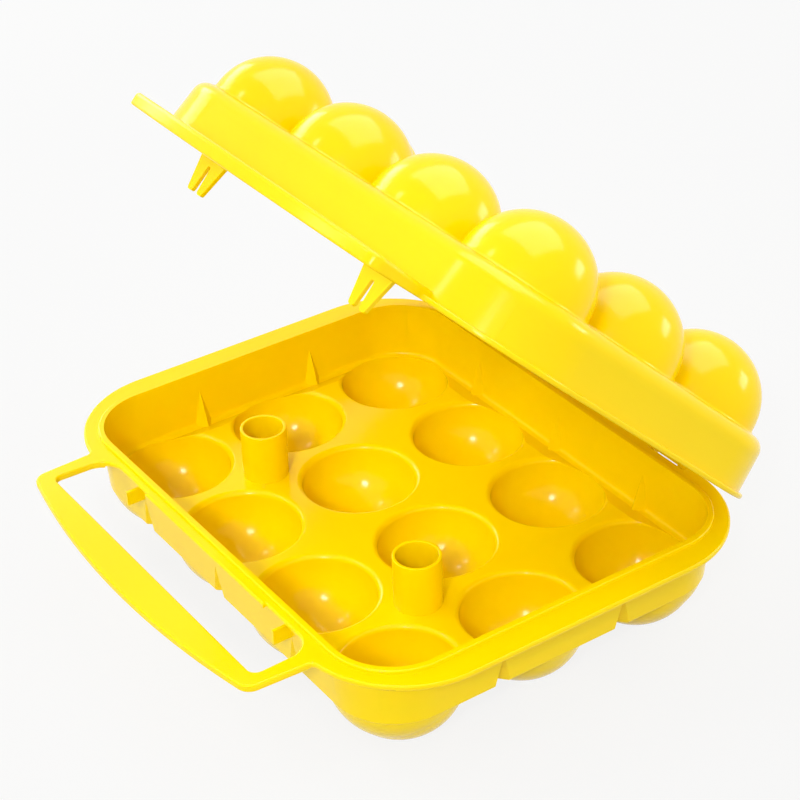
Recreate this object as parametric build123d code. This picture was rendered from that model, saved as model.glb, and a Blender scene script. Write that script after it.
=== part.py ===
from build123d import *
import copy
import math
import os

os.makedirs("parts", exist_ok=True)

# Egg keeper: two thin plastic mouldings, a tray and a lid, joined by a snap hinge at the back.
# Frame: the table is z = 0, X runs along the long side, the hinge is at +Y and the carrying
# handle at -Y, +Z is up. Everything is drawn about the middle of the pocket grid and moved
# at the end so that the origin lies under the middle of the opened object.
# All sizes are in millimetres.

# Pocket grid, shared by the tray's cups and the lid's domes
pocket_columns = 4
pocket_rows = 3
pocket_pitch_x = 46.0
pocket_pitch_y = 47.0

# Moulded skin
skin = 1.6

# Tray cups
cup_radius = 19.6
cup_centre_drop = 1.7
cup_mouth_round = 1.9
cup_foot_cut = 0.4

# Tray wall
wall_clear_of_cup_x = 0.9
wall_clear_of_cup_y = 2.2
tray_corner_radius = 20.2
tray_depth = 18.3
tray_draft = 4.0
tray_floor_round = 1.8
tray_belly_round = 0.6

# The tray floor dips towards the walls, all round
floor_dip = 2.7
floor_dip_ledge = 0.5
floor_dip_width = 6.7

# Fairing that carries the wall smoothly into the outer cups
cup_fairing_rise = 0.8
cup_fairing_overlap = 0.5

# Tray rim: a thin bead round the mouth and a flange outside it
bead_width = 2.0
bead_height = 1.2
bead_round = 0.55
flange_width_x = 10.8
flange_width_y = 8.0
flange_corner_radius = 36.0
flange_thickness = 2.0
flange_edge_round = 0.7

# Carrying handle, the same outline on tray and lid
handle_root_half_width = 70.0
handle_taper = 1.5
handle_reach = 29.4
handle_bow = 7.3
handle_corner_round = 5.0
handle_root_round = 2.5
handle_root_overlap = 1.2
handle_arm_width = 4.7
handle_arm_root_width = 6.7
tray_handle_thickness = 2.6
lid_handle_thickness = 3.5
lid_handle_rise = 1.2
lid_handle_round = 1.3
finger_gap_reach = 17.1
finger_gap_round = 3.0
finger_gap_root_round = 8.0

# Ledge of the tray's flange, between the notches that the latches pass through
ledge_reach = 3.1
ledge_side_clearance = 1.7
notch_clearance = 0.6

# Latches: a thin rib on the tray that a split fork on the lid straddles
latch_x = 46.0
rib_thickness = 1.0
rib_reach = 3.4
rib_height = 5.3
rib_top_clearance = 0.5
fork_thickness = 1.4
fork_set_in = 0.4
fork_root_width = 14.6
fork_tip_width = 8.0
fork_tip_round = 1.1
fork_length = 12.7
fork_slot_length = 9.5
fork_slot_clearance = 0.3
fork_slot_tip_width = 2.8
fork_slot_round = 0.6

# Hollow posts on the tray floor
post_radius = 8.0
post_wall = 1.1
post_edge_round = 0.3

# Hollow gussets where the walls meet the floor
gusset_half_width = 3.5
gusset_reach = 4.0
gusset_height = 11.5

# Lid
lid_gap = 0.2
lid_height = 19.4
lid_draft = 5.1
lid_fin_width = 1.5
lid_fin_thickness = 1.8
lid_roof_round = 5.0
lid_roof_inner_round = 3.4
dome_radius = 20.0
dome_mouth_round = 1.4
dome_foot_round = 1.1

# Hinge: bars on the tray, open hooks on the lid that snap over them
hinge_x = 50.0
hinge_bar_radius = 1.4
hinge_running_clearance = 0.06
hinge_axis_past_flange = 0.9
hinge_hook_wall = 1.2
hinge_hook_width = 11.0
hinge_side_clearance = 0.4
hinge_ear_thickness = 3.0
hinge_ear_radius = 2.0
hinge_notch_clearance = 0.6
hinge_mouth_width = 2.3
hinge_web_height = 4.0
hinge_fin_clearance = 0.5

# How far the lid stands open at rest
lid_open_angle = 43.4

# Overrun of cutting bodies past what they cut, and how near counts as the same place
over = 1.0
same_place = 0.001

# ---------------------------------------------------------------- derived places
cup_outer_radius = cup_radius + skin
floor_z = cup_centre_drop + cup_outer_radius - cup_foot_cut
rim_z = floor_z + tray_depth
flange_z = rim_z - bead_height
part_z = flange_z + lid_gap
roof_z = part_z + lid_height
dome_outer_radius = dome_radius + skin

grid_half_x = (pocket_columns - 1) * pocket_pitch_x / 2
grid_half_y = (pocket_rows - 1) * pocket_pitch_y / 2
tray_slope = math.tan(math.radians(tray_draft))
lid_slope = math.tan(math.radians(lid_draft))

inside_x = grid_half_x + cup_radius + wall_clear_of_cup_x
inside_y = grid_half_y + cup_radius + wall_clear_of_cup_y
rim_x = inside_x + tray_depth * tray_slope
rim_y = inside_y + tray_depth * tray_slope
rim_corner = tray_corner_radius + tray_depth * tray_slope
flange_x = rim_x + flange_width_x
flange_y = rim_y + flange_width_y
dip_z = floor_z - floor_dip
skirt_z = dip_z - skin
handle_end_half_width = handle_root_half_width - handle_taper
handle_front_y = -flange_y - handle_reach
handle_side_y = handle_front_y + handle_bow
finger_gap_half_width = handle_end_half_width - handle_arm_width
finger_gap_root_half_width = handle_root_half_width - handle_arm_root_width

lid_wall_x = flange_x - lid_fin_width
lid_wall_y = flange_y - lid_fin_width
lid_corner = flange_corner_radius - lid_fin_width

fork_outer_y = -lid_wall_y + fork_set_in
fork_slot_z = part_z - fork_length + fork_slot_length
ledge_half_width = latch_x - fork_root_width / 2 - ledge_side_clearance
ledge_y = -rim_y - bead_width - ledge_reach
notch_y = fork_outer_y + fork_thickness + notch_clearance
lid_handle_root_y = -lid_wall_y + skin / 2

hinge_y = flange_y + hinge_axis_past_flange
hinge_z = part_z
hook_radius = hinge_bar_radius + hinge_running_clearance + hinge_hook_wall
hinge_notch_y = hinge_y - hook_radius - hinge_notch_clearance
hinge_notch_half = hinge_hook_width / 2 + hinge_side_clearance + hinge_ear_thickness

column_x = [-grid_half_x + i * pocket_pitch_x for i in range(pocket_columns)]
row_y = [-grid_half_y + j * pocket_pitch_y for j in range(pocket_rows)]


# ---------------------------------------------------------------- helpers
def drafted_prism(half_x, half_y, corner, z_low, height, draft):
    """Rounded box on z_low that opens upwards by the draft angle."""
    base = Plane.XY.offset(z_low) * RectangleRounded(2 * half_x, 2 * half_y, corner)
    return extrude(base, amount=height, taper=-draft)


def closing_prism(half_x, half_y, corner, z_low, height, draft):
    """Rounded box on z_low that closes in upwards by the draft angle."""
    base = Plane.XY.offset(z_low) * RectangleRounded(2 * half_x, 2 * half_y, corner)
    return extrude(base, amount=height, taper=draft)


def edges_at(solid, z):
    """Edges of a solid that lie in the level z."""
    return solid.edges().filter_by_position(Axis.Z, z - same_place, z + same_place)


def block(x0, x1, y0, y1, z0, z1):
    """Plain box between its low and high corners."""
    return Pos((x0 + x1) / 2, (y0 + y1) / 2, (z0 + z1) / 2) * Box(x1 - x0, y1 - y0, z1 - z0)


def pocket_hollow(radius, drop, mouth_round, rise):
    """Space inside one pocket, its mouth at z = 0 and its ball below, with a rounded lip."""
    lip_x = math.sqrt((radius + mouth_round) ** 2 - (drop - mouth_round) ** 2)
    reach = radius / (radius + mouth_round)
    touch = (lip_x * reach, -drop + (drop - mouth_round) * reach)
    half = math.radians(45)
    ball_mid = (radius * math.sin(half), -drop - radius * math.cos(half))
    lip_angle = math.atan2(mouth_round + touch[1], touch[0] - lip_x)
    lip_mid_angle = (lip_angle % (2 * math.pi) + math.pi / 2) / 2
    lip_mid = (
        lip_x + mouth_round * math.cos(lip_mid_angle),
        -mouth_round + mouth_round * math.sin(lip_mid_angle),
    )
    outline = [
        ThreePointArc((0, -drop - radius), ball_mid, touch),
        ThreePointArc(touch, lip_mid, (lip_x, 0)),
        Line((lip_x, 0), (lip_x, rise)),
        Line((lip_x, rise), (0, rise)),
        Line((0, rise), (0, -drop - radius)),
    ]
    return revolve(Plane.XZ * make_face(outline), Axis.Z)


def pyramid(*corners):
    """Solid four-cornered pyramid."""
    return ConvexPolyhedron(list(corners))


def rounded_plate(outline, z_low, thickness, edge_round):
    """Flat plate with its outline's edges rounded on both faces."""
    plate = extrude(Plane.XY.offset(z_low) * outline, amount=thickness)
    rims = edges_at(plate, z_low) + edges_at(plate, z_low + thickness)
    return fillet(rims, edge_round)


# ---------------------------------------------------------------- rim outline, handle and gaps
def handle_outline():
    """Outer edge of the handle, from inside the flange to the bowed front."""
    left_end = (-handle_end_half_width, handle_side_y)
    right_end = (handle_end_half_width, handle_side_y)
    edges = [
        Line((-handle_root_half_width, -inside_y), left_end),
        ThreePointArc(left_end, (0, handle_front_y), right_end),
        Line(right_end, (handle_root_half_width, -inside_y)),
        Line((handle_root_half_width, -inside_y), (-handle_root_half_width, -inside_y)),
    ]
    face = make_face(edges)
    return fillet(face.vertices().sort_by(Axis.Y)[0:2], handle_corner_round)


def gap_outline(right_side):
    """Finger gap behind the handle's bar, closed by the given points of its right side."""
    far_y = -flange_y - finger_gap_reach
    right = right_side + [(finger_gap_half_width, far_y)]
    left = [(-x, y) for x, y in reversed(right)]
    face = make_face(Polyline(*(right + left), close=True))
    return fillet(face.vertices().sort_by(Axis.Y)[0:2], finger_gap_round)


def tray_gap_outline():
    """The tray's finger gap, with the ledge between its two notches and rounded roots."""
    face = gap_outline(
        [
            (ledge_half_width, ledge_y),
            (ledge_half_width, notch_y),
            (finger_gap_root_half_width, notch_y),
        ]
    )
    roots = [v for v in face.vertices() if abs(abs(v.X) - finger_gap_root_half_width) < same_place]
    return fillet(roots, finger_gap_root_round)


tray_finger_gap = tray_gap_outline()
lid_finger_gap = gap_outline([(finger_gap_root_half_width, lid_handle_root_y)])


def on_handle_side(vertex):
    """Whether a corner of an outline lies on one of the handle's two straight sides."""
    along = (vertex.Y + inside_y) / (handle_side_y + inside_y)
    side_x = handle_root_half_width - along * handle_taper
    return abs(abs(vertex.X) - side_x) < same_place


def rim_outline(gap, hinge_cut_y, hinge_cut_half):
    """Flange and handle in one outline, notched at the hinges."""
    face = RectangleRounded(2 * flange_x, 2 * flange_y, flange_corner_radius) + handle_outline()
    roots = [
        v
        for v in face.vertices()
        if on_handle_side(v) and handle_side_y + handle_corner_round < v.Y < -inside_y - over
    ]
    face = fillet(roots, handle_root_round)
    face = face - gap
    notch_depth = flange_y + over - hinge_cut_y
    for x in (-hinge_x, hinge_x):
        notch = Pos(x, hinge_cut_y + notch_depth / 2) * Rectangle(2 * hinge_cut_half, notch_depth)
        face = face - notch
    return face


def handle_face(gap, root_y):
    """Outline of the carrying handle alone, with its two roots let in as far as root_y."""
    depth = 2 * handle_reach
    beyond = Pos(0, root_y - depth / 2) * Rectangle(4 * handle_root_half_width, depth)
    return (handle_outline() - gap) & beyond


def tray_handle():
    """Flat handle, thicker than the flange and level with its top."""
    face = handle_face(tray_finger_gap, -flange_y + handle_root_overlap)
    return rounded_plate(face, flange_z - tray_handle_thickness, tray_handle_thickness, flange_edge_round)


def lid_handle():
    """Handle that is flat below, rises towards its bar and has well-rounded upper edges."""
    slope = math.degrees(math.atan2(lid_handle_rise, handle_reach))
    thickest = lid_handle_thickness + lid_handle_rise + over
    plate = extrude(
        Plane.XY.offset(part_z) * handle_face(lid_finger_gap, lid_handle_root_y), amount=thickest
    )
    reach = 2 * handle_root_half_width
    above = Rot(-slope, 0, 0) * block(-reach, reach, -reach, reach, 0, reach)
    plate = plate - Pos(0, lid_handle_root_y, part_z + lid_handle_thickness) * above
    top = plate.faces().sort_by(Axis.Z)[-1]
    free_y = lid_handle_root_y - same_place
    plate = fillet([edge for edge in top.edges() if edge.center().Y < free_y], lid_handle_round)
    return fillet([edge for edge in edges_at(plate, part_z) if edge.center().Y < free_y], flange_edge_round)


# ---------------------------------------------------------------- tray moulding
def tray_shell():
    """The whole tray moulding without posts, ribs and hinge bars."""
    below = (floor_z - skirt_z) * tray_slope
    belly = drafted_prism(
        inside_x + skin - below,
        inside_y + skin - below,
        tray_corner_radius + skin - below,
        skirt_z,
        flange_z - skirt_z,
        tray_draft,
    )
    belly = fillet(edges_at(belly, skirt_z), tray_belly_round)
    solid = belly - Pos(0, 0, -skin) * floor_plateau()
    wide = 2 * cup_outer_radius
    keep = block(-wide, wide, -wide, wide, -floor_z, -skin / 2)
    cup = (Pos(0, 0, -cup_centre_drop) * Sphere(cup_outer_radius)) & keep
    for x in column_x:
        for y in row_y:
            solid = solid + Pos(x, y, floor_z) * cup
    for x, y in fairing_places():
        solid = solid + Pos(x, y, floor_z) * cup_fairing()

    rim = rounded_plate(
        rim_outline(tray_finger_gap, hinge_notch_y, hinge_notch_half),
        flange_z - flange_thickness,
        flange_thickness,
        flange_edge_round,
    )
    bead = drafted_prism(
        rim_x + bead_width,
        rim_y + bead_width,
        rim_corner + bead_width,
        flange_z - over,
        bead_height + over,
        0,
    )
    bead = fillet(edges_at(bead, rim_z), bead_round)
    solid = solid + rim + tray_handle() + bead

    dip_inset = floor_dip * tray_slope
    cavity = drafted_prism(
        inside_x - dip_inset,
        inside_y - dip_inset,
        tray_corner_radius - dip_inset,
        dip_z,
        rim_z + over - dip_z,
        tray_draft,
    )
    cavity = fillet(edges_at(cavity, dip_z), tray_floor_round)
    solid = solid - (cavity - floor_plateau())

    lip_limit = drafted_prism(
        inside_x - floor_z * tray_slope,
        inside_y - floor_z * tray_slope,
        tray_corner_radius - floor_z * tray_slope,
        0,
        rim_z,
        tray_draft,
    )
    hollow = pocket_hollow(cup_radius, cup_centre_drop, cup_mouth_round, tray_floor_round + over)
    for x in column_x:
        for y in row_y:
            solid = solid - ((Pos(x, y, floor_z) * hollow) & lip_limit)

    for place, turn, half in gusset_places():
        solid = solid + place * turn * gusset(half)
        solid = solid - place * turn * groove(half)
    return solid


def floor_plateau():
    """Raised middle of the floor: sloping sides, from the dip by the walls up to the floor."""
    inset = floor_dip * tray_slope + tray_floor_round + floor_dip_ledge
    foot = Plane.XY.offset(dip_z) * RectangleRounded(
        2 * (inside_x - inset), 2 * (inside_y - inset), tray_corner_radius - inset
    )
    inset = inset + floor_dip_width
    top = Plane.XY.offset(floor_z) * RectangleRounded(
        2 * (inside_x - inset), 2 * (inside_y - inset), tray_corner_radius - inset
    )
    return loft([foot, top], ruled=True)


def cup_fairing():
    """Part ball under the wall, flush with it, that runs smoothly into an outer cup."""
    radius = tray_corner_radius + skin
    top = -floor_dip - skin + cup_fairing_overlap
    wide = 2 * radius
    keep = block(-wide, wide, -wide, wide, -floor_z, top)
    return (Pos(0, 0, cup_fairing_rise) * Sphere(radius)) & keep


def fairing_places():
    """Middles of the fairings: the outer cups' middles, moved out against the walls."""
    out_x = inside_x - tray_corner_radius
    out_y = inside_y - tray_corner_radius
    places = []
    for i, x in enumerate(column_x):
        for j, y in enumerate(row_y):
            at_side = i in (0, pocket_columns - 1)
            at_end = j in (0, pocket_rows - 1)
            if at_side or at_end:
                place_x = math.copysign(out_x, x) if at_side else x
                place_y = math.copysign(out_y, y) if at_end else y
                places.append((place_x, place_y))
    return places


def leaning_pyramid(half, share, z_low, face_y):
    """Pyramid between the wall at y = half and the floor; share 1 is the gusset's own surface."""
    out = (face_y - half) / gusset_reach
    low = share - z_low / gusset_height
    return pyramid(
        (-gusset_half_width * (low + out), face_y, z_low),
        (gusset_half_width * (low + out), face_y, z_low),
        (0, half - gusset_reach * low, z_low),
        (0, face_y, gusset_height * (share + out)),
    )


def gusset(half):
    """Small pyramid that leans from the dip in the floor against the wall."""
    return leaning_pyramid(half, 1, -skin / 2, half + skin / 2)


def groove(half):
    """Hollow behind a gusset, one skin inside it and open to the outside of the wall."""
    steep = math.hypot(1 / gusset_half_width, 1 / gusset_reach, 1 / gusset_height)
    return leaning_pyramid(half, 1 - skin * steep, -skin - over, half + skin + over)


def gusset_places():
    """Every gusset's placing: midway between neighbouring cups on all four walls."""
    places = []
    for i in range(pocket_columns - 1):
        x = column_x[i] + pocket_pitch_x / 2
        places.append((Pos(x, 0, dip_z), Rot(0, 0, 0), inside_y))
        places.append((Pos(x, 0, dip_z), Rot(0, 0, 180), inside_y))
    for j in range(pocket_rows - 1):
        y = row_y[j] + pocket_pitch_y / 2
        places.append((Pos(0, y, dip_z), Rot(0, 0, 90), inside_x))
        places.append((Pos(0, y, dip_z), Rot(0, 0, -90), inside_x))
    return places


# ---------------------------------------------------------------- lid moulding, modelled closed
def lid_shell():
    """The whole lid moulding without forks and hinge hooks, as it lies on the closed tray."""
    solid = closing_prism(lid_wall_x, lid_wall_y, lid_corner, part_z, lid_height, lid_draft)
    solid = fillet(edges_at(solid, roof_z), lid_roof_round)
    keep_size = 2 * dome_outer_radius
    keep = block(-keep_size, keep_size, -keep_size, keep_size, -skin / 2, keep_size)
    dome = (Sphere(dome_outer_radius) & keep) + dome_foot()
    for x in column_x:
        for y in row_y:
            solid = solid + Pos(x, y, roof_z) * dome

    fin_outline = rim_outline(lid_finger_gap, lid_wall_y, hinge_notch_half + hinge_fin_clearance)
    rim = rounded_plate(fin_outline, part_z, lid_fin_thickness, flange_edge_round)
    solid = solid + rim + lid_handle()
    cavity = closing_prism(
        lid_wall_x - skin + over * lid_slope,
        lid_wall_y - skin + over * lid_slope,
        lid_corner - skin + over * lid_slope,
        part_z - over,
        lid_height - skin + over,
        lid_draft,
    )
    cavity = fillet(edges_at(cavity, roof_z - skin), lid_roof_inner_round)
    solid = solid - cavity
    hollow = Rot(180, 0, 0) * pocket_hollow(dome_radius, skin, dome_mouth_round, over)
    for x in column_x:
        for y in row_y:
            solid = solid - Pos(x, y, roof_z - skin) * hollow
    return solid


def dome_foot():
    """Small rounding where a dome rises from the roof."""
    ring_x = dome_outer_radius + dome_foot_round
    profile = Pos(ring_x - dome_foot_round, 0) * Rectangle(
        2 * dome_foot_round, 2 * dome_foot_round
    ) - Pos(ring_x, dome_foot_round) * Circle(dome_foot_round)
    return revolve(Plane.XZ * profile, Axis.Z)


# ---------------------------------------------------------------- small pieces
def fork():
    """Split latch fork at x = 0: two round-ended prongs and the round-topped slot between them."""
    tip_z = part_z - fork_length
    slot_half = rib_thickness / 2 + fork_slot_clearance
    right = [
        (fork_root_width / 2, part_z),
        (fork_tip_width / 2, tip_z),
        (fork_slot_tip_width / 2, tip_z),
        (slot_half, fork_slot_z),
    ]
    left = [(-x, z) for x, z in reversed(right)]
    face = make_face(Polyline(*(right + left), close=True))
    face = fillet(face.vertices().sort_by(Axis.Y)[0:4], fork_tip_round)
    slot_top = [v for v in face.vertices() if abs(v.Y - fork_slot_z) < same_place]
    face = fillet(slot_top, fork_slot_round)
    return extrude(Plane.XZ.offset(-fork_outer_y) * face, amount=-fork_thickness)


def latch_rib():
    """Thin upright rib on the tray's front wall at x = 0, which the fork's slot straddles."""
    half = rib_thickness / 2
    top_z = fork_slot_z - rib_top_clearance
    return block(-half, half, notch_y - rib_reach, -rim_y, top_z - rib_height, top_z)


def post():
    """Hollow round post standing on the tray floor, level with the rim."""
    solid = Cylinder(post_radius, tray_depth) - Cylinder(post_radius - post_wall, tray_depth)
    solid = Pos(0, 0, floor_z + tray_depth / 2) * solid
    return fillet(edges_at(solid, rim_z), post_edge_round)


def hinge_bar():
    """Round bar between two ears at the back of the flange, at x = 0."""
    inner = hinge_hook_width / 2 + hinge_side_clearance
    outer = hinge_notch_half
    bar = Pos(0, hinge_y, hinge_z) * Rot(0, 90, 0) * Cylinder(hinge_bar_radius, 2 * outer)
    solid = bar
    for side in (-1, 1):
        x0 = min(side * inner, side * outer)
        x1 = max(side * inner, side * outer)
        middle = (x0 + x1) / 2
        disc = Rot(0, 90, 0) * Cylinder(hinge_ear_radius, hinge_ear_thickness)
        root = block(x0, x1, hinge_notch_y, hinge_y, flange_z - flange_thickness, flange_z)
        cheek = block(
            x0, x1, hinge_notch_y, hinge_y, hinge_z - hinge_ear_radius, flange_z
        )
        solid = solid + Pos(middle, hinge_y, hinge_z) * disc + root + cheek
    return solid


def hinge_hook():
    """Open hook that snaps over a hinge bar from above and hangs from the lid's back wall."""
    inner = hook_radius - hinge_hook_wall
    ring = Pos(0, hinge_y, hinge_z) * Rot(0, 90, 0) * Cylinder(hook_radius, hinge_hook_width)
    half = hinge_hook_width / 2
    web = block(-half, half, lid_wall_y - skin / 2, hinge_y, hinge_z, hinge_z + hinge_web_height)
    bore = Pos(0, hinge_y, hinge_z) * Rot(0, 90, 0) * Cylinder(inner, hinge_hook_width)
    mouth_y = hinge_mouth_width / 2
    mouth = block(-half, half, hinge_y - mouth_y, hinge_y + mouth_y, hinge_z - hook_radius, hinge_z)
    return ring + web - bore - mouth


def open_lid(solid):
    """A lid solid turned about the hinge from closed to its rest pose."""
    hinge = Axis((0, hinge_y, hinge_z), (-1, 0, 0))
    return solid.rotate(hinge, lid_open_angle)


def mitred_walls(half_x, half_y, corner, z0, z1):
    """Four regions, one for each wall, that meet at 45 degree planes through the corners."""
    cx = half_x - corner
    cy = half_y - corner
    far = 2 * corner
    points = {
        "front": [(-cx - far, -cy - far), (cx + far, -cy - far), (cx, -cy), (-cx, -cy)],
        "rear": [(-cx - far, cy + far), (cx + far, cy + far), (cx, cy), (-cx, cy)],
        "left": [(-cx - far, -cy - far), (-cx, -cy), (-cx, cy), (-cx - far, cy + far)],
        "right": [(cx + far, -cy - far), (cx, -cy), (cx, cy), (cx + far, cy + far)],
    }
    regions = {}
    for name, corners in points.items():
        face = make_face(Polyline(*corners, close=True))
        regions[name] = extrude(Plane.XY.offset(z0) * face, amount=z1 - z0)
    return regions


def tiles(half_x, half_y, z0, z1):
    """One block for each pocket; the outer ones reach to the edge of the moulding."""
    blocks = {}
    for i, x in enumerate(column_x):
        x0 = x - pocket_pitch_x / 2 if i > 0 else -half_x
        x1 = x + pocket_pitch_x / 2 if i < pocket_columns - 1 else half_x
        for j, y in enumerate(row_y):
            y0 = y - pocket_pitch_y / 2 if j > 0 else -half_y
            y1 = y + pocket_pitch_y / 2 if j < pocket_rows - 1 else half_y
            blocks[f"row{j + 1}_column{i + 1}"] = block(x0, x1, y0, y1, z0, z1)
    return blocks


# ---------------------------------------------------------------- nodes
nodes = {}

tray = tray_shell()
tray_seam_z = floor_z + tray_floor_round
far_x = flange_x + over
far_y = flange_y + handle_reach + over
walls_low_y = -flange_y - handle_root_round

tray_body = tray & block(-far_x, far_x, walls_low_y, far_y, -over, rim_z + over)
nodes["tray_handle"] = tray & block(-far_x, far_x, -far_y, walls_low_y, floor_z, rim_z + over)
for name, region in tiles(far_x, far_y, -over, tray_seam_z).items():
    nodes["tray_cup_" + name] = tray_body & region
for name, region in mitred_walls(rim_x, rim_y, rim_corner, tray_seam_z, rim_z + over).items():
    nodes["tray_wall_" + name] = tray_body & region

lid = lid_shell()
lid_seam_z = roof_z - lid_roof_round - over
lid_body = lid & block(-far_x, far_x, walls_low_y, far_y, part_z - over, roof_z + 2 * dome_outer_radius)
lid_nodes = {}
lid_nodes["lid_handle"] = lid & block(-far_x, far_x, -far_y, walls_low_y, part_z - over, roof_z)
for name, region in tiles(far_x, far_y, lid_seam_z, roof_z + 2 * dome_outer_radius).items():
    lid_nodes["lid_dome_" + name] = lid_body & region
for name, region in mitred_walls(lid_wall_x, lid_wall_y, lid_corner, part_z - over, lid_seam_z).items():
    lid_nodes["lid_wall_" + name] = lid_body & region

for side, sign in (("left", -1), ("right", 1)):
    nodes["tray_post_" + side] = Pos(sign * latch_x, row_y[0] + pocket_pitch_y / 2, 0) * post()
    nodes["tray_latch_rib_" + side] = Pos(sign * latch_x, 0, 0) * latch_rib() - tray
    nodes["tray_hinge_bar_" + side] = Pos(sign * hinge_x, 0, 0) * hinge_bar() - tray
    lid_nodes["lid_latch_fork_" + side] = Pos(sign * latch_x, 0, 0) * fork() - lid
    lid_nodes["lid_hinge_hook_" + side] = Pos(sign * hinge_x, 0, 0) * hinge_hook() - lid

for name, solid in lid_nodes.items():
    nodes[name] = open_lid(solid)

# The origin is the middle of the standing, opened object's footprint
whole = Compound(children=[copy.copy(solid) for solid in nodes.values()]).bounding_box()
middle_y = (whole.min.Y + whole.max.Y) / 2
for name, solid in nodes.items():
    export_step(Pos(0, -middle_y, 0) * solid, f"parts/{name}.step")

print("nodes", len(nodes))
print("floor", floor_z, "rim", rim_z, "parting", part_z, "roof", roof_z)
print("hinge", hinge_y - middle_y, hinge_z, "shift", middle_y)
print("flange", flange_x, flange_y, "wall of lid", lid_wall_x, lid_wall_y)
print("whole", whole)
print("closed height", roof_z + dome_outer_radius)
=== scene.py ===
import bpy
import math
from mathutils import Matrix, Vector

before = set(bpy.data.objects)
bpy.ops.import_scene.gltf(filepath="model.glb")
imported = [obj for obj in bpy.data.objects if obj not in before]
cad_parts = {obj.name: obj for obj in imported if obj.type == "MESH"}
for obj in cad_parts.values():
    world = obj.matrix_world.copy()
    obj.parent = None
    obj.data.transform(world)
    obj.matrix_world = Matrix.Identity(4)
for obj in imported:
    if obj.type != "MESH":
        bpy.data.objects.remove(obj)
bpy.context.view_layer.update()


# ---------------------------------------------------------------- colour and node helpers
MM = 0.001
WHITE = "#FFFFFF"


def linear(hex_colour):
    """sRGB hex value as linear red, green, blue and alpha 1."""
    out = []
    for i in (1, 3, 5):
        c = int(hex_colour[i:i + 2], 16) / 255
        out.append(c / 12.92 if c <= 0.04045 else ((c + 0.055) / 1.055) ** 2.4)
    return (*out, 1.0)


def add(owner, kind, settings=None, values=None, links=None):
    """A new node of a material or world, with its settings, and with values and other nodes'
    outputs on its sockets, which are given by name, or by number where two share a name."""
    tree = owner.node_tree
    node = tree.nodes.new(kind)
    for name, value in (settings or {}).items():
        setattr(node, name, value)
    for socket, value in (values or {}).items():
        node.inputs[socket].default_value = value
    for socket, source in (links or {}).items():
        tree.links.new(source, node.inputs[socket])
    return node


def blank(collection, name):
    """A new material or world, with nodes switched on and none in it yet."""
    made = collection.new(name)
    made.use_nodes = True
    made.node_tree.nodes.clear()
    return made


# ---------------------------------------------------------------- moulded polypropylene
# Polypropylene, coloured right through with yellow pigment and injected into a polished mould.
# The skin is smooth and half glossy. Where it shrank it has a faint orange peel, a few
# millimetres across, and handling leaves fine scuffs that vary the gloss. A little light enters
# the plastic, which softens its edges, and the pigment is not stirred in perfectly evenly, which
# the eye takes as depth.
PIGMENT_CLOUD = 60 * MM
YELLOW_DEEP = "#F5D200"
YELLOW_LIGHT = "#F8D700"
CLOUD_DEEP = 0.35           # values of the cloud noise at which each yellow is pure
CLOUD_LIGHT = 0.65

ORANGE_PEEL = 4 * MM
PEEL_HEIGHT = 0.1 * MM
PEEL_STRENGTH = 0.02

SCUFF = 1.2 * MM            # real scuffs are finer: these are as coarse as they need to be to show
SCUFF_LEAST = 0.3           # values of the scuff noise at which the skin is cleanest and dullest
SCUFF_MOST = 0.7
ROUGHNESS_CLEAN = 0.14
ROUGHNESS_SCUFFED = 0.19

IOR = 1.49
SPECULAR_LEVEL = 0.17       # half gloss: duller than a clear plastic of this IOR, which has 0.5
LIGHT_SHARE = 0.2           # share of the light that enters the plastic
LIGHT_DEPTH = 1 * MM
LIGHT_REACH = (1.0, 0.8, 0.1)   # of that depth, how far red, green and blue get in yellow


def moulded_polypropylene():
    material = blank(bpy.data.materials, "moulded_polypropylene_yellow")
    place = add(material, "ShaderNodeTexCoord").outputs["Object"]
    cloud = add(material, "ShaderNodeTexNoise", values={
        "Scale": 1 / PIGMENT_CLOUD, "Detail": 2.0, "Roughness": 0.5}, links={"Vector": place})
    colour = add(material, "ShaderNodeValToRGB", links={"Fac": cloud.outputs["Fac"]})
    deep, light = colour.color_ramp.elements
    deep.position, deep.color = CLOUD_DEEP, linear(YELLOW_DEEP)
    light.position, light.color = CLOUD_LIGHT, linear(YELLOW_LIGHT)
    scuffs = add(material, "ShaderNodeTexNoise", values={
        "Scale": 1 / SCUFF, "Detail": 4.0, "Roughness": 0.6}, links={"Vector": place})
    gloss = add(material, "ShaderNodeMapRange", values={
        "From Min": SCUFF_LEAST, "From Max": SCUFF_MOST,
        "To Min": ROUGHNESS_CLEAN, "To Max": ROUGHNESS_SCUFFED,
    }, links={"Value": scuffs.outputs["Fac"]})
    peel = add(material, "ShaderNodeTexNoise", values={
        "Scale": 1 / ORANGE_PEEL, "Detail": 1.0, "Roughness": 0.4}, links={"Vector": place})
    bump = add(material, "ShaderNodeBump", values={
        "Strength": PEEL_STRENGTH, "Distance": PEEL_HEIGHT}, links={"Height": peel.outputs["Fac"]})
    shader = add(material, "ShaderNodeBsdfPrincipled", values={
        "IOR": IOR,
        "Specular IOR Level": SPECULAR_LEVEL,
        "Subsurface Weight": LIGHT_SHARE,
        "Subsurface Radius": LIGHT_REACH,
        "Subsurface Scale": LIGHT_DEPTH,
    }, links={
        "Base Color": colour.outputs["Color"],
        "Roughness": gloss.outputs["Result"],
        "Normal": bump.outputs["Normal"],
    })
    add(material, "ShaderNodeOutputMaterial", links={"Surface": shader.outputs["BSDF"]})
    return material


# Both mouldings come from one batch of plastic, so every piece gets the same material.
plastic = moulded_polypropylene()
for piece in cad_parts.values():
    piece.data.materials.clear()
    piece.data.materials.append(plastic)


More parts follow.
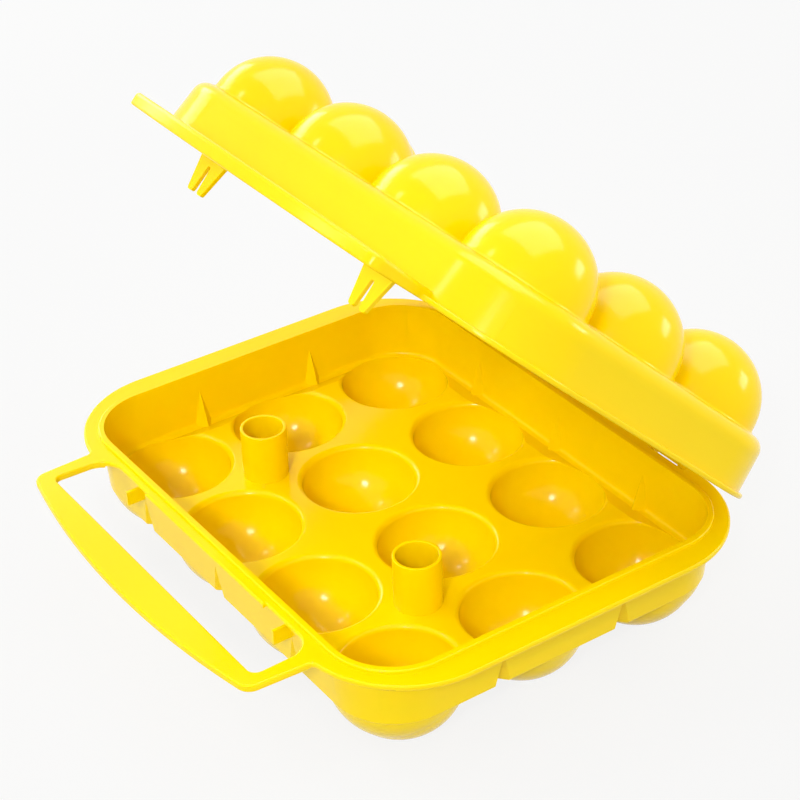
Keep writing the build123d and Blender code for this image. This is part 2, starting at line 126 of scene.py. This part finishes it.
# ---------------------------------------------------------------- floor and backdrop
# Matt studio paper. The object is lit by its true light grey, and the camera and the object's
# gloss see the same paper lifted nearly to white, with a faint shadow left.
PAPER = "#C0C0BE"
PAPER_GLOW = 0.85           # share of plain white in what the camera sees of the paper
FLOOR_SIZE = 12
AMBIENT = 0.97              # strength of the white light from all around


def shows_background(owner):
    """1 for the rays that show the background: the camera's, and those that gloss or glass
    sends on."""
    rays = add(owner, "ShaderNodeLightPath").outputs
    shows = rays["Is Camera Ray"]
    for kind in ("Is Glossy Ray", "Is Transmission Ray"):
        either = add(owner, "ShaderNodeMath", {"operation": "MAXIMUM"},
                     links={0: shows, 1: rays[kind]})
        shows = either.outputs[0]
    return shows


def studio_paper():
    material = blank(bpy.data.materials, "matt_studio_paper_white")
    paper = add(material, "ShaderNodeBsdfDiffuse", values={"Color": linear(PAPER)})
    glow = add(material, "ShaderNodeEmission", values={"Color": linear(WHITE), "Strength": 1.0})
    lifted = add(material, "ShaderNodeMixShader", values={"Fac": PAPER_GLOW},
                 links={1: paper.outputs[0], 2: glow.outputs[0]})
    choice = add(material, "ShaderNodeMixShader", links={
        "Fac": shows_background(material), 1: paper.outputs[0], 2: lifted.outputs[0]})
    add(material, "ShaderNodeOutputMaterial", links={"Surface": choice.outputs[0]})
    return material


def white_studio():
    world = blank(bpy.data.worlds, "white_studio")
    ambient = add(world, "ShaderNodeBackground", values={
        "Color": linear(WHITE), "Strength": AMBIENT})
    backdrop = add(world, "ShaderNodeBackground", values={"Color": linear(WHITE), "Strength": 1.0})
    choice = add(world, "ShaderNodeMixShader", links={
        "Fac": shows_background(world), 1: ambient.outputs[0], 2: backdrop.outputs[0]})
    add(world, "ShaderNodeOutputWorld", links={"Surface": choice.outputs[0]})
    return world


bpy.ops.object.select_all(action="DESELECT")
bpy.ops.mesh.primitive_plane_add(size=FLOOR_SIZE, location=(0, 0, 0))
floor = bpy.context.object
floor.name = "floor"
floor.data.materials.append(studio_paper())

bpy.context.scene.world = white_studio()


# ---------------------------------------------------------------- lamps
SPOT_SOFT_EDGE = 0.4        # share of the spotlight's cone over which it fades out


def lamp(light, place, target, watts):
    """Puts a light at a place, aimed at a target, where the camera doesn't see the lamp itself."""
    light.energy = watts
    made = bpy.data.objects.new(light.name, light)
    bpy.context.scene.collection.objects.link(made)
    made.location = place
    made.rotation_euler = (Vector(target) - Vector(place)).to_track_quat("-Z", "Y").to_euler()
    made.visible_camera = False
    return made


def softbox(name, place, target, width, height, watts, lights_matt=True):
    light = bpy.data.lights.new(name, "AREA")
    light.shape = "RECTANGLE"
    light.size = width
    light.size_y = height
    lamp(light, place, target, watts).visible_diffuse = lights_matt


def spotlight(name, place, target, cone_deg, radius, watts):
    light = bpy.data.lights.new(name, "SPOT")
    light.spot_size = math.radians(cone_deg)
    light.spot_blend = SPOT_SOFT_EDGE
    light.shadow_soft_size = radius
    lamp(light, place, target, watts)


# Two small keys from the front left give the cups their highlights. Broad panels on the left and
# behind on the right show on the domes, and so does one overhead, which adds no light to matt
# surfaces. A soft spotlight lifts the inside of the tray.
softbox("softbox_key_high", place=(-0.5, -0.62, 1.02), target=(0, 0, 0.05),
        width=0.13, height=0.18, watts=1.0)
softbox("softbox_key_low", place=(-0.6, -0.86, 0.78), target=(0, 0, 0.05),
        width=0.13, height=0.18, watts=1.0)
softbox("softbox_left", place=(-1.08, -0.02, 0.52), target=(0, 0, 0.05),
        width=0.7, height=0.35, watts=4)
softbox("softbox_rear", place=(0.6, 1.25, 0.35), target=(0, 0, 0.08),
        width=0.5, height=0.3, watts=4.5)
softbox("softbox_overhead", place=(-0.12, 0.62, 1.1), target=(-0.12, 0.62, 0),
        width=1.2, height=1.3, watts=24, lights_matt=False)
spotlight("spotlight_tray", place=(0.6, -0.7, 0.76), target=(-0.025, -0.01, 0.02),
          cone_deg=11.8, radius=0.14, watts=47)


# ---------------------------------------------------------------- camera
CAMERA_PLACE = (0.502477, -0.325246, 0.449747)
CAMERA_TURN_DEG = (57.51965, 1.55992, 55.20165)
LENS_MM = 97.952
SENSOR_MM = 36

camera_data = bpy.data.cameras.new("camera")
camera_data.lens = LENS_MM
camera_data.sensor_width = SENSOR_MM
camera = bpy.data.objects.new("camera", camera_data)
bpy.context.scene.collection.objects.link(camera)
camera.location = CAMERA_PLACE
camera.rotation_euler = [math.radians(turn) for turn in CAMERA_TURN_DEG]
bpy.context.scene.camera = camera
bpy.context.scene.view_settings.view_transform = "Standard"
